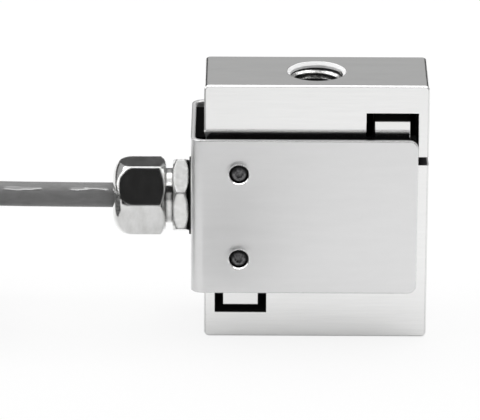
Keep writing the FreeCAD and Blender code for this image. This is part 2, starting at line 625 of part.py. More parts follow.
def tie_section(outer_height, y_side, shrink):
    """Outline of a tie round one bundle, as (y, z): a tall outer and a low inner column."""
    outer = HANK_OUTER_RADIUS + TIE_THICKNESS - TIE_BITE - shrink
    inner = HANK_INNER_RADIUS - TIE_THICKNESS + TIE_BITE + shrink
    shelf = HANK_MIDDLE_RADIUS + (TIE_THICKNESS - TIE_BITE - shrink)
    top = outer_height + TIE_THICKNESS - TIE_BITE - shrink
    step = INNER_HEIGHT + TIE_THICKNESS - TIE_BITE - shrink
    points = [(inner, shrink), (outer, shrink), (outer, top), (shelf - CABLE_RADIUS, top),
              (inner, step)]
    return [(y_side * y, z) for y, z in points]


def tie_strap(side, x, outer_height):
    """Loop of strap round one straight bundle of the hank."""
    def bar(shrink):
        ring = [Vec(x - TIE_WIDTH / 2, y, z) for y, z in tie_section(outer_height, side, shrink)]
        return Part.Face(Part.makePolygon(ring + ring[:1])).extrude(Vec(TIE_WIDTH, 0, 0))
    return bar(0).cut(bar(TIE_THICKNESS))


def hank_tie(side, x, outer_height):
    """Strap with its ratchet head on the outer column."""
    top = outer_height + TIE_THICKNESS - TIE_BITE
    y = side * (HANK_OUTER_RADIUS - TIE_HEAD / 2)
    head = box((x - TIE_HEAD / 2, y - TIE_HEAD / 2, top),
               (x + TIE_HEAD / 2, y + TIE_HEAD / 2, top + TIE_HEAD_HEIGHT))
    return tie_strap(side, x, outer_height).fuse(head)


def cable_hank():
    """Outer shape of all the wound turns, grooved where the ties grip them."""
    outer = oblong(HANK_OUTER_RADIUS, TOP_HEIGHT).cut(oblong(HANK_MIDDLE_RADIUS, TOP_HEIGHT))
    inner = oblong(HANK_MIDDLE_RADIUS, INNER_HEIGHT)
    tail_step = oblong(HANK_MIDDLE_RADIUS, OUTER_HEIGHT)
    tail_x = TAIL_POINTS[0][0]
    tail_step = tail_step.common(box((HANK_START - HANK_LENGTH, -HANK_OUTER_RADIUS, 0),
                                     (tail_x, 0, OUTER_HEIGHT)))
    inner = inner.fuse(tail_step).cut(oblong(HANK_INNER_RADIUS, OUTER_HEIGHT))
    hank = outer.cut(top_lap_limits()).fuse(inner).removeSplitter()
    return hank.cut([tie_strap(1, BACK_TIE_X, TOP_HEIGHT),
                     tie_strap(-1, FRONT_TIE_X, OUTER_HEIGHT)])


def cable_lead(hank):
    """Jacket from inside the block, through the gland, level to the hank and on to it."""
    points = [(JACKET_START, 0, GLAND_HEIGHT), (LEAD_STRAIGHT_END, 0, GLAND_HEIGHT)]
    return round_tube(points + LEAD_POINTS, CABLE_RADIUS).cut(hank)


def cable_tail(hank):
    """Last stretch of jacket, off the inner column and down to the floor inside it."""
    return round_tube(TAIL_POINTS, CABLE_RADIUS).cut(hank)


def bare_strand(y, z, rank, radius):
    """Core or screen that leaves the cut jacket at (y, z) and sinks to the floor."""
    end_x, end_y, _ = TAIL_POINTS[-1]
    back_x, back_y, _ = TAIL_POINTS[-2]
    run = math.hypot(end_x - back_x, end_y - back_y)
    along_x, along_y = (end_x - back_x) / run, (end_y - back_y) / run
    height = CABLE_RADIUS + z
    points = []
    for reach, fan, drop in ((0.0, 0.0, 0.0), (0.12, 0.0, 0.0), (0.4, 0.35, 0.2),
                             (0.7, 0.65, 0.8), (1.0, 1.0, 1.0)):
        ahead = reach * BARE_LENGTH
        side = y + (rank * BARE_SPACING - y) * fan
        points.append((end_x + along_x * ahead - along_y * side,
                       end_y + along_y * ahead + along_x * side,
                       height - (height - radius) * drop))
    return round_tube(points, radius)


def bare_core(index):
    y, z, rank = core_place(index)
    return bare_strand(y, z, rank, CORE_RADIUS)


def bare_screen():
    """The screen's wires, twisted into one tail beside the cores."""
    return bare_strand(CABLE_RADIUS - SCREEN_RADIUS, 0, 2.5, SCREEN_RADIUS)


def build():
    """Every piece, by node name."""
    nodes = {
        "s_beam": measuring_block(),
        "cover": cover(),
        "cover_gasket_front": face_gasket(-1),
        "cover_gasket_back": face_gasket(1),
        "cover_gasket_left": side_gasket(),
        "gland_body": gland_body(),
        "gland_washer": gland_washer(),
        "gland_lock_nut": gland_lock_nut(),
        "gland_dome_nut": gland_dome_nut(),
        "gland_seal": gland_seal(),
        "gland_claw": gland_claw(),
        "terminal_board": terminal_board(),
        "trim_resistors": trim_resistors(),
        "gauge_wires": gauge_wires(),
    }
    for side_name, side in SIDES.items():
        for row, height in SCREW_HEIGHTS.items():
            nodes["cover_screw_%s_%s" % (side_name, row)] = cover_screw(side, height)
            nodes["screw_bush_%s_%s" % (side_name, row)] = screw_bush(side, height)
            nodes["screw_cup_%s_%s" % (side_name, row)] = screw_cup(side, height)
    for x, x_name in ((-CAVITY_OFFSET, "left"), (CAVITY_OFFSET, "right")):
        for up, up_name in ((1, "upper"), (-1, "lower")):
            nodes["strain_gauge_%s_%s" % (x_name, up_name)] = gauge(x, up)
    hank = cable_hank()
    nodes["cable_hank"] = hank
    nodes["cable_lead"] = cable_lead(hank)
    nodes["cable_tail"] = cable_tail(hank)
    nodes["hank_tie_front"] = hank_tie(-1, FRONT_TIE_X, OUTER_HEIGHT)
    nodes["hank_tie_back"] = hank_tie(1, BACK_TIE_X, TOP_HEIGHT)
    nodes["bare_screen"] = bare_screen()
    for index, colour in enumerate(CORE_COLOURS):
        nodes["inner_core_%s" % colour] = inner_core(index)
        nodes["bare_core_%s" % colour] = bare_core(index)
    return nodes


os.makedirs("parts", exist_ok=True)
for name, shape in sorted(build().items()):
    shape.exportStep("parts/%s.step" % name)
    print("%-28s solids %d valid %s volume %.1f" % (name, len(shape.Solids), shape.isValid(),
                                                   shape.Volume))
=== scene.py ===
import json
from math import cos, pi, sin, tan

import bpy
from mathutils import Matrix, Vector


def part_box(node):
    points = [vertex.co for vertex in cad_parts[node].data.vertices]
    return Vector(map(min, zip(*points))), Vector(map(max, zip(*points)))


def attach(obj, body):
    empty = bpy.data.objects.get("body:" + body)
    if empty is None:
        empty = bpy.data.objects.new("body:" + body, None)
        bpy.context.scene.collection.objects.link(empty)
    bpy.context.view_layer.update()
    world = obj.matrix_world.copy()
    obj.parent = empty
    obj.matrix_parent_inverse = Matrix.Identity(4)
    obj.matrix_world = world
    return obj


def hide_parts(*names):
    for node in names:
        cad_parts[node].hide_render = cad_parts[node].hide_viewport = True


MM = 0.001

# Camera
CAMERA_PLACE = (-14.369, -993.542, 409.908)
CAMERA_PITCH = 0.367734
CAMERA_YAW = -0.002944
CAMERA_ROLL = 0.003428
CAMERA_LENS = 347.97

# Cable, as in the part's source
CABLE_DIAMETER = 5.7
LEAD_POINTS = [(-23, 0, 30.7), (-73, 0, 30.7), (-86, 0.4, 31.45), (-100, 3.5, 31.45),
               (-114, 11, 31.4), (-126, 19.5, 31.35), (-134.5, 23.1, 31.35), (-144, 23.1, 31.35)]
HANK_START = -80.0
HANK_LENGTH = 128.0
INNER_TURN = 17.4
OUTER_TURN = 23.1
HANK_RADIUS = 25.95
OUTER_LAYERS = 5
INNER_LAYERS = 4
END_STEPS = 8
TOP_FALL = -134.0
FALL_STAGGER = 4.0
FALL_RUN = 13.0
TAIL_POINTS = [(-170, -15.5, 25.4), (-156, -11, 23.5), (-143, -9, 15), (-132, -8.0, 6),
               (-122, -6.8, 2.85), (-112.5, -5.6, 2.85)]

# Cup washers round the screws' heads, as (radius, rise from the sheet)
CUP_SIDES = 96
CUP_PROFILE = ((2.10, 0.0), (2.10, 0.90), (2.13, 0.94), (2.38, 1.20), (2.42, 1.22), (2.46, 1.20),
               (2.49, 1.12), (2.49, 0.0))

# Twisted screen past the jacket's end
SCREEN_LENGTH = 15.0
SCREEN_RADIUS = 0.7
SCREEN_SPREAD = 5.25
SCREEN_WIRES = 6
SCREEN_WIRE_RADIUS = 0.25
SCREEN_TURNS = 4.5
SCREEN_STEPS = 110
WIRE_SIDES = 6

# Threads in the block
THREAD_RADIUS = 6.0
THREAD_DEPTH = 0.68
THREAD_PITCH = 1.25


# ------------------------------------------------------------------ meshes
def mesh_piece(name, verts, faces, slot, smooth=True, finish=None):
    """New piece of the cell from points in millimetres."""
    mesh = bpy.data.meshes.new(name)
    mesh.from_pydata([tuple(c * MM for c in v) for v in verts], [], faces)
    mesh.validate()
    mesh.polygons.foreach_set("use_smooth", [smooth] * len(mesh.polygons))
    piece = bpy.data.objects.new(name, mesh)
    bpy.context.collection.objects.link(piece)
    mesh.materials.append(finish or finishes[slot])
    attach(piece, "root")
    return piece


def thread_ridge(name, low, high):
    """Thread form inside one of the block's holes, run out to nothing at both ends."""
    turns = (high - low - THREAD_PITCH) / THREAD_PITCH
    steps = int(turns * 64)
    verts, faces = [], []
    for i in range(steps + 1):
        share = i / steps
        angle = 2 * pi * turns * share
        rise = low + THREAD_PITCH / 2 + share * turns * THREAD_PITCH
        fade = min(1.0, min(i, steps - i) / 20)
        crest = THREAD_RADIUS + 0.02 - THREAD_DEPTH * fade
        profile = ((THREAD_RADIUS + 0.03, -0.55), (crest, -0.09), (crest, 0.09),
                   (THREAD_RADIUS + 0.03, 0.55))
        for r, z in profile:
            verts.append((r * cos(angle), r * sin(angle), rise + z))
        if i:
            a, b = 4 * (i - 1), 4 * i
            faces += [(a + k, a + k + 1, b + k + 1, b + k) for k in range(3)]
    return mesh_piece(name, verts, faces, "nickel_steel", smooth=False,
                      finish=finishes["cut_steel"])


def dished_cup(node, outward):
    """Cup washer with a thin lip and a dish that slopes in to the screw's head."""
    low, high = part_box(node)
    middle_x, middle_z = (low[0] + high[0]) / 2 / MM, (low[2] + high[2]) / 2 / MM
    seat = (high if outward < 0 else low)[1] / MM
    verts, faces = [], []
    for i in range(CUP_SIDES):
        angle = 2 * pi * i / CUP_SIDES
        for radius, rise in CUP_PROFILE:
            verts.append((middle_x + radius * cos(angle), seat + outward * rise,
                          middle_z + radius * sin(angle)))
    rows = len(CUP_PROFILE)
    for i in range(CUP_SIDES):
        a, b = rows * i, rows * ((i + 1) % CUP_SIDES)
        for k in range(rows):
            n = (k + 1) % rows
            ring = (a + k, a + n, b + n, b + k)
            faces.append(ring if outward < 0 else ring[::-1])
    slot = [part["material_slot"] for part in frame["record"]["subparts"]
            if part["node"] == node][0]
    piece = mesh_piece(node.replace("screw", "dished"), verts, faces, slot, smooth=False,
                       finish=finishes["screw_cup"])
    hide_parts(node)
    return piece


# ------------------------------------------------------------------ the cable
def hank_end(side, radius, low, high):
    """Half turn round one end of the hank, with a point on each run beside it."""
    middle = HANK_START - HANK_RADIUS
    if side < 0:
        middle = HANK_START - HANK_LENGTH + HANK_RADIUS
    half = pi / END_STEPS / 2
    reach = radius / cos(half)
    beside = radius * tan(half)
    points = [(middle - side * beside, -side * radius, low)]
    for k in range(END_STEPS):
        angle = -pi / 2 + (2 * k + 1) * half
        share = (k + 0.5) / END_STEPS
        points.append((middle + side * reach * cos(angle), side * reach * sin(angle),
                       low + (high - low) * share))
    points.append((middle - side * beside, side * radius, high))
    return points


def cable_route():
    """Gland to cut end: lead, top lap, outer column down, inner column up, tail."""
    layer = [CABLE_DIAMETER * (k + 0.5) for k in range(OUTER_LAYERS + 1)]
    points = list(LEAD_POINTS)
    points += hank_end(-1, OUTER_TURN, layer[OUTER_LAYERS], layer[OUTER_LAYERS])
    for k in range(OUTER_LAYERS, 0, -1):
        fall = TOP_FALL - (OUTER_LAYERS - k) * FALL_STAGGER
        points.append((fall - FALL_RUN / 2, -OUTER_TURN, layer[k]))
        points.append((fall + FALL_RUN / 2, -OUTER_TURN, layer[k - 1]))
        points += hank_end(1, OUTER_TURN, layer[k - 1], layer[k - 1])
        points += hank_end(-1, OUTER_TURN, layer[k - 1], layer[k - 1])
    inward = TOP_FALL - OUTER_LAYERS * FALL_STAGGER - FALL_STAGGER
    points.append((inward - FALL_RUN / 2, -OUTER_TURN, layer[0]))
    points.append((inward + FALL_RUN / 2, -INNER_TURN, layer[0]))
    for k in range(INNER_LAYERS):
        points += hank_end(1, INNER_TURN, layer[k], layer[k])
        points += hank_end(-1, INNER_TURN, layer[k], layer[k + 1])
    return points + TAIL_POINTS


def cable():
    """The whole cable as one smooth line."""
    points = cable_route()
    curve = bpy.data.curves.new("cable", "CURVE")
    curve.dimensions = "3D"
    spline = curve.splines.new("NURBS")
    spline.points.add(len(points) - 1)
    for point, place in zip(spline.points, points):
        point.co = (*(c * MM for c in place), 1)
    spline.order_u = 3
    spline.use_endpoint_u = True
    spline.resolution_u = 5
    spline.use_smooth = True
    curve.bevel_depth = CABLE_DIAMETER / 2 * MM
    curve.bevel_resolution = 10
    curve.use_fill_caps = True
    piece = bpy.data.objects.new("cable", curve)
    bpy.context.collection.objects.link(piece)
    curve.materials.append(finishes["cable_jacket"])
    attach(piece, "root")
    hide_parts("cable_lead", "cable_hank", "cable_tail")
    return piece


def screen_line(share):
    """Place on the screen's axis, from the jacket's end out beside the cores to the floor."""
    end, back = Vector(TAIL_POINTS[-1]), Vector(TAIL_POINTS[-2])
    ahead = (end - back).normalized()
    aside = Vector((-ahead.y, ahead.x, 0))
    fan = max(0.0, (share - 0.12) / 0.88)
    drop = fan * fan * (3 - 2 * fan)
    start = CABLE_DIAMETER / 2 - SCREEN_RADIUS
    fall = (SCREEN_RADIUS - CABLE_DIAMETER / 2) * drop
    middle = end + ahead * share * SCREEN_LENGTH + aside * (start + (SCREEN_SPREAD - start) * fan)
    return middle + Vector((0, 0, fall))


def twisted_screen():
    """The screen's wires, gathered and twisted into one tail."""
    verts, faces = [], []
    reach = SCREEN_RADIUS - SCREEN_WIRE_RADIUS
    up = Vector((0, 0, 1))
    for wire in range(SCREEN_WIRES):
        first = len(verts)
        for i in range(SCREEN_STEPS + 1):
            share = i / SCREEN_STEPS
            along_line = (screen_line(share + 0.01) - screen_line(share - 0.01)).normalized()
            right = along_line.cross(up).normalized()
            over = right.cross(along_line)
            turn = 2 * pi * (wire / SCREEN_WIRES + share * SCREEN_TURNS)
            out = right * cos(turn) + over * sin(turn)
            middle = screen_line(share) + out * reach
            for k in range(WIRE_SIDES):
                angle = 2 * pi * k / WIRE_SIDES
                ring = right * cos(angle) + over * sin(angle)
                verts.append(tuple(middle + ring * SCREEN_WIRE_RADIUS))
            if i:
                a, b = first + WIRE_SIDES * (i - 1), first + WIRE_SIDES * i
                for k in range(WIRE_SIDES):
                    n = (k + 1) % WIRE_SIDES
                    faces.append((a + k, b + k, b + n, a + n))
        faces.append(tuple(range(first, first + WIRE_SIDES)))
        faces.append(tuple(reversed(range(len(verts) - WIRE_SIDES, len(verts)))))
    piece = mesh_piece("twisted_screen", verts, faces, "tinned_copper")
    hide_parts("bare_screen")
    return piece


# ------------------------------------------------------------------ finishes
SCREWS = ("cover_screw_front_upper", "cover_screw_front_lower")
SMUDGE_SOFTNESS = 0.25

# The block's other surfaces, each a painted tone, and how deep each starts across x, y and z
# Grey painted along the outer edges: a painted dark reflection of dark surroundings
EDGE_PAINTED_DARK = (0.35, 0.35, 0.35)
EDGE_SKINS = (0.4, -1.0, 0.4)
# Near-white, non-metal colour on the thread mouths is painted light that makes the countersinks
# look lit; the matt gloss stands for the cut surface
MOUTH_PAINTED_LIGHT = (0.98, 0.98, 0.98)
MOUTH_SKINS = (0.3, 0.3, 0.02)
MOUTH_MARGIN = 1.0
# Black on the faces deeper than the skins: painted shade inside the slots and holes, whose metal
# is bare
INSIDE_PAINTED_SHADE = (0.02, 0.02, 0.021)
INSIDE_SKINS = (0.3, 0.3, 1.25)

# Stripped cores and the ties' ribs
TINNED = (0.62, 0.60, 0.56)
STRIPPED_LENGTH = 4.0
RIB_SCALE = 0.314               # wave texture's scale for one rib in a unit of length

# Glossy line along the jacket: its place and width as the normal's upward part
STREAK_HEIGHT = 0.70
STREAK_REACH = 0.10
STREAK_FADE = 0.06
STREAK_REPEAT = 15.2
STREAK_DRIFT = 12.0
SKIN_DEPTH = 1.0


def put(tree, kind, **values):
    """Node with its settings and unlinked inputs."""
    node = tree.nodes.new("ShaderNode" + kind)
    for name, value in values.items():
        label = name.replace("_", " ")
        if hasattr(node, name) and label not in node.inputs:
            setattr(node, name, value)
        else:
            node.inputs[label].default_value = value
    return node


def calc(tree, operation, first, second=0.0, clamp=False):
    """Sum, product or the like of numbers or linked values."""
    node = put(tree, "Math", operation=operation)
    node.use_clamp = clamp
    for socket, value in zip(node.inputs, (first, second)):
        if hasattr(value, "links"):
            tree.links.new(value, socket)
        else:
            socket.default_value = value
    return node.outputs[0]


def ramp(tree, value, low, high):
    """From 0 to 1, softly, as the value goes from low to high."""
    node = put(tree, "MapRange", interpolation_type="SMOOTHSTEP", From_Min=low, From_Max=high)
    tree.links.new(value, node.inputs["Value"])
    return node.outputs["Result"]


def group(name, inputs, output_names):
    """Shader group with float or vector inputs; returns it with its two ends."""
    tree = bpy.data.node_groups.new(name, "ShaderNodeTree")
    for label, value in inputs:
        kind = "NodeSocketVector" if isinstance(value, tuple) else "NodeSocketFloat"
        socket = tree.interface.new_socket(label, in_out="INPUT", socket_type=kind)
        socket.default_value = value
    for label, kind in output_names:
        tree.interface.new_socket(label, in_out="OUTPUT", socket_type=kind)
    return tree, tree.nodes.new("NodeGroupInput"), tree.nodes.new("NodeGroupOutput")


def make_grain():
    """Fine lines or specks, in millimetres, stretched along the axes as asked."""
    tree, start, end = group("fine_grain", [("Fineness", (1.0, 1.0, 1.0)), ("Detail", 3.0)],
                             [("Height", "NodeSocketFloat")])
    place = put(tree, "TexCoord")
    scale = put(tree, "VectorMath", operation="MULTIPLY")
    noise = put(tree, "TexNoise", Scale=1000.0, Roughness=0.6)
    tree.links.new(place.outputs["Object"], scale.inputs[0])
    tree.links.new(start.outputs["Fineness"], scale.inputs[1])
    tree.links.new(scale.outputs[0], noise.inputs["Vector"])
    tree.links.new(start.outputs["Detail"], noise.inputs["Detail"])
    tree.links.new(noise.outputs[0], end.inputs["Height"])
    return tree


def make_smudges():
    """Soft cloudy marks left by handling."""
    tree, start, end = group("handling_marks", [("Size", 0.1), ("Cover", 0.55)],
                             [("Mask", "NodeSocketFloat")])
    place = put(tree, "TexCoord")
    noise = put(tree, "TexNoise", Detail=4.0, Roughness=0.55, Distortion=0.6)
    cloud = put(tree, "MapRange", interpolation_type="SMOOTHSTEP")
    tree.links.new(calc(tree, "MULTIPLY", start.outputs["Size"], 1 / MM), noise.inputs["Scale"])
    tree.links.new(place.outputs["Object"], noise.inputs["Vector"])
    tree.links.new(noise.outputs[0], cloud.inputs["Value"])
    tree.links.new(start.outputs["Cover"], cloud.inputs["From Min"])
    tree.links.new(calc(tree, "ADD", start.outputs["Cover"], SMUDGE_SOFTNESS),
                   cloud.inputs["From Max"])
    tree.links.new(cloud.outputs["Result"], end.inputs["Mask"])
    return tree


def make_edges():
    """Where an edge is near, and the rounded normal there."""
    tree, start, end = group("edge_mask_and_bevel", [("Width", 0.2)],
                             [("Mask", "NodeSocketFloat"), ("Normal", "NodeSocketVector")])
    bevel = put(tree, "Bevel", samples=6)
    flat = put(tree, "NewGeometry")
    dot = put(tree, "VectorMath", operation="DOT_PRODUCT")
    tree.links.new(calc(tree, "MULTIPLY", start.outputs["Width"], MM), bevel.inputs["Radius"])
    tree.links.new(bevel.outputs[0], dot.inputs[0])
    tree.links.new(flat.outputs["Normal"], dot.inputs[1])
    tree.links.new(ramp(tree, dot.outputs["Value"], 0.995, 0.9), end.inputs["Mask"])
    tree.links.new(bevel.outputs[0], end.inputs["Normal"])
    return tree


def inside_block(tree, skins):
    """Mask for what lies deeper than the skins, across x, y and z, of the block."""
    low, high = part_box("s_beam")
    place = put(tree, "TexCoord")
    axes = put(tree, "SeparateXYZ")
    tree.links.new(place.outputs["Object"], axes.inputs[0])
    mask = 1.0
    for axis, skin in enumerate(skins):
        centred = calc(tree, "SUBTRACT", axes.outputs[axis], (low[axis] + high[axis]) / 2)
        limit = (high[axis] - low[axis]) / 2 - skin * MM
        within = calc(tree, "LESS_THAN", calc(tree, "ABSOLUTE", centred), limit)
        mask = calc(tree, "MULTIPLY", within, mask)
    return mask


def use(tree, shared, **values):
    """One of the shared groups, put into a material."""
    node = tree.nodes.new("ShaderNodeGroup")
    node.node_tree = shared
    for label, value in values.items():
        node.inputs[label].default_value = value
    return node


def blend(tree, mask, low, high):
    """Colour from low to high as the mask goes from 0 to 1."""
    node = put(tree, "Mix", data_type="RGBA")
    tree.links.new(mask, node.inputs["Factor"])
    for label, value in (("A", low), ("B", high)):
        socket = [s for s in node.inputs if s.name == label and s.type == "RGBA"][0]
        if hasattr(value, "links"):
            tree.links.new(value, socket)
        else:
            socket.default_value = (*value, 1)
    return [s for s in node.outputs if s.type == "RGBA"][0]


def spread(tree, value, low, high):
    """Number from low to high as the value goes from 0.3 to 0.7."""
    node = put(tree, "MapRange", From_Min=0.3, From_Max=0.7, To_Min=low, To_Max=high)
    tree.links.new(value, node.inputs["Value"])
    return node.outputs["Result"]


def even_out(tree, mask, socket, value):
    """One value instead of the linked one wherever the mask is 1."""
    mixed = put(tree, "Mix", data_type="FLOAT", B=value)
    tree.links.new(mask, mixed.inputs["Factor"])
    if socket.links:
        tree.links.new(socket.links[0].from_socket, mixed.inputs["A"])
    else:
        mixed.inputs["A"].default_value = socket.default_value
    tree.links.new(mixed.outputs["Result"], socket)


def finish(name, light, dark, metallic, rough, fineness, bump, marks=0.12, painted_edge=None, edge=0.2,
           detail=3.0, polish=None, **fixed):
    """Surface with grain in its colour, gloss and relief, handling marks, rounded edges and, where
    given, a colour painted along the edges.
    """
    material = bpy.data.materials.new(name)
    material.use_nodes = True
    tree = material.node_tree
    shader = tree.nodes["Principled BSDF"]
    shader.inputs["Metallic"].default_value = metallic
    for label, value in fixed.items():
        shader.inputs[label.replace("_", " ")].default_value = value
    grain = use(tree, shared["grain"], Fineness=fineness, Detail=detail)
    smudge = use(tree, shared["smudges"], Size=marks)
    edges = use(tree, shared["edges"], Width=edge)
    tone = spread(tree, grain.outputs["Height"], 0.0, 1.0)
    colour = blend(tree, tone, dark, light)
    # Colour painted along the edges, where given: a painted dark reflection
    if painted_edge:
        colour = blend(tree, edges.outputs["Mask"], colour, painted_edge)
    tree.links.new(colour, shader.inputs["Base Color"])
    gloss = spread(tree, grain.outputs["Height"], rough[0], rough[1])
    duller = put(tree, "Math", operation="MULTIPLY_ADD")
    duller.inputs[1].default_value = rough[2]
    tree.links.new(smudge.outputs["Mask"], duller.inputs[0])
    tree.links.new(gloss, duller.inputs[2])
    tree.links.new(duller.outputs[0], shader.inputs["Roughness"])
    if polish:
        even_out(tree, edges.outputs["Mask"], shader.inputs["Roughness"], polish)
    relief = put(tree, "Bump", Strength=bump, Distance=0.0001)
    tree.links.new(grain.outputs["Height"], relief.inputs["Height"])
    tree.links.new(edges.outputs["Normal"], relief.inputs["Normal"])
    tree.links.new(relief.outputs["Normal"], shader.inputs["Normal"])
    return material


def tint(material, mask, tone):
    """Another colour where the mask is 1."""
    tree = material.node_tree
    base = tree.nodes["Principled BSDF"].inputs["Base Color"]
    tree.links.new(blend(tree, mask, base.links[0].from_socket, tone), base)
    return material


def overlay(material, mask, tone, gloss, metallic):
    """Another surface where the mask is 1."""
    tree = material.node_tree
    shader = tree.nodes["Principled BSDF"]
    tint(material, mask, tone)
    even_out(tree, mask, shader.inputs["Roughness"], gloss)
    even_out(tree, mask, shader.inputs["Metallic"], metallic)
    return material


def along(tree, axis, low, high):
    """From 0 to 1 between two places along an axis, in millimetres."""
    place = put(tree, "TexCoord")
    axes = put(tree, "SeparateXYZ")
    tree.links.new(place.outputs["Object"], axes.inputs[0])
    return ramp(tree, axes.outputs[axis], low * MM, high * MM)


def stripped(material, node):
    """Insulation taken off the last few millimetres, down to the tinned wire."""
    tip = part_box(node)[1][0] / MM
    mask = along(material.node_tree, 0, tip - STRIPPED_LENGTH, tip - STRIPPED_LENGTH + 0.1)
    return overlay(material, mask, TINNED, 0.3, 1.0)


def patterned(material, kind, low, high, tone, gloss, metallic, **values):
    """Pads, tracks or foil lines from a pattern."""
    tree = material.node_tree
    place = put(tree, "TexCoord")
    texture = put(tree, kind, **values)
    shape = put(tree, "MapRange", From_Min=low, From_Max=high)
    tree.links.new(place.outputs["Object"], texture.inputs["Vector"])
    tree.links.new(texture.outputs["Distance" if kind == "TexVoronoi" else "Fac"],
                   shape.inputs["Value"])
    return overlay(material, shape.outputs["Result"], tone, gloss, metallic)


def ribbed(material, pitch, depth):
    """Fine ribs, a pitch apart, along the strap."""
    tree = material.node_tree
    shader = tree.nodes["Principled BSDF"]
    place = put(tree, "TexCoord")
    ribs = put(tree, "TexWave", bands_direction="X", Scale=RIB_SCALE / (pitch * MM))
    relief = put(tree, "Bump", Strength=1.0, Distance=depth * MM)
    tree.links.new(place.outputs["Object"], ribs.inputs["Vector"])
    tree.links.new(ribs.outputs["Fac"], relief.inputs["Height"])
    tree.links.new(shader.inputs["Normal"].links[0].from_socket, relief.inputs["Normal"])
    tree.links.new(relief.outputs["Normal"], shader.inputs["Normal"])
    return material


def gloss_streaks(material):
    """Glossy, broken line along the jacket's front shoulder, on a slightly wavy skin."""
    tree = material.node_tree
    shader = tree.nodes["Principled BSDF"]
    place = put(tree, "TexCoord")
    facing = put(tree, "SeparateXYZ")
    run = put(tree, "SeparateXYZ")
    across = put(tree, "VectorMath", operation="MULTIPLY")
    across.inputs[1].default_value = (0, 1, 1)
    drift = put(tree, "TexNoise", Scale=40.0, Detail=1.0)
    skin = put(tree, "TexNoise", Scale=160.0, Detail=1.0)
    relief = put(tree, "Bump", Strength=1.0, Distance=SKIN_DEPTH * MM)
    tree.links.new(place.outputs["Normal"], facing.inputs[0])
    tree.links.new(place.outputs["Object"], run.inputs[0])
    tree.links.new(place.outputs["Object"], across.inputs[0])
    tree.links.new(across.outputs[0], drift.inputs["Vector"])
    tree.links.new(place.outputs["Object"], skin.inputs["Vector"])
    away = calc(tree, "ABSOLUTE", calc(tree, "SUBTRACT", facing.outputs[2], STREAK_HEIGHT))
    mask = ramp(tree, away, STREAK_REACH + STREAK_FADE, STREAK_REACH)
    mask = calc(tree, "MULTIPLY", mask, calc(tree, "LESS_THAN", facing.outputs[1], 0.0))
    turns = calc(tree, "MULTIPLY", run.outputs[0], 2 * pi / (STREAK_REPEAT * MM))
    slide = calc(tree, "MULTIPLY", drift.outputs[0], STREAK_DRIFT)
    wave = calc(tree, "SINE", calc(tree, "ADD", turns, slide))
    mask = calc(tree, "MULTIPLY", mask, ramp(tree, wave, -0.4, 0.0))
    tree.links.new(mask, shader.inputs["Coat Weight"])
    tree.links.new(skin.outputs[0], relief.inputs["Height"])
    tree.links.new(relief.outputs["Normal"], shader.inputs["Coat Normal"])
    return material


def block_finish(material):
    """Painted tones: a grey line along the outer edges as painted dark reflection, matt near-white
    thread mouths as painted light, black faces inside as painted shade.
    """
    tree = material.node_tree
    low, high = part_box("s_beam")
    place = put(tree, "TexCoord")
    flat = put(tree, "VectorMath", operation="MULTIPLY")
    flat.inputs[1].default_value = (1, 1, 0)
    away = put(tree, "VectorMath", operation="DISTANCE")
    away.inputs[1].default_value = ((low[0] + high[0]) / 2, (low[1] + high[1]) / 2, 0)
    tree.links.new(place.outputs["Object"], flat.inputs[0])
    tree.links.new(flat.outputs[0], away.inputs[0])
    near = calc(tree, "LESS_THAN", away.outputs["Value"], (THREAD_RADIUS + MOUTH_MARGIN) * MM)
    mouth = calc(tree, "MULTIPLY", near, inside_block(tree, MOUTH_SKINS))
    edges = use(tree, shared["edges"], Width=0.35)
    outer = calc(tree, "SUBTRACT", edges.outputs["Mask"], inside_block(tree, EDGE_SKINS),
                 clamp=True)
    # Outer edges painted grey: a painted dark reflection
    tint(material, outer, EDGE_PAINTED_DARK)
    # Thread mouths painted near-white and matt: painted light
    overlay(material, mouth, MOUTH_PAINTED_LIGHT, 0.5, 0.0)
    # Faces inside the block painted black and dull: painted shade
    return overlay(material, inside_block(tree, INSIDE_SKINS), INSIDE_PAINTED_SHADE, 0.95, 0.0)


def around(tree, screws, inner, outer):
    """From 0 at a screw's axis to 1 away from it."""
    place = put(tree, "TexCoord")
    flat = put(tree, "VectorMath", operation="MULTIPLY")
    flat.inputs[1].default_value = (1, 0, 1)
    tree.links.new(place.outputs["Object"], flat.inputs[0])
    mask = 1.0
    for screw in screws:
        low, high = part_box(screw)
        away = put(tree, "VectorMath", operation="DISTANCE")
        away.inputs[1].default_value = ((low[0] + high[0]) / 2, 0, (low[2] + high[2]) / 2)
        tree.links.new(flat.outputs[0], away.inputs[0])
        clear = ramp(tree, away.outputs["Value"], inner * MM, outer * MM)
        mask = calc(tree, "MINIMUM", clear, mask)
    return mask


def painted_dark_rim(material, screws, inner, outer, tone):
    """Black band painted toward the edge of each screw's head: a painted dark reflection of the
    head's rounded edge.
    """
    return tint(material, around(material.node_tree, screws, inner, outer), tone)


def plastic(name, light, dark, rough=(0.3, 0.42, 0.1), bump=0.1, fineness=(1.2, 1.2, 1.2)):
    """Moulded or drawn plastic."""
    return finish(name, light, dark, 0.0, rough, fineness, bump)


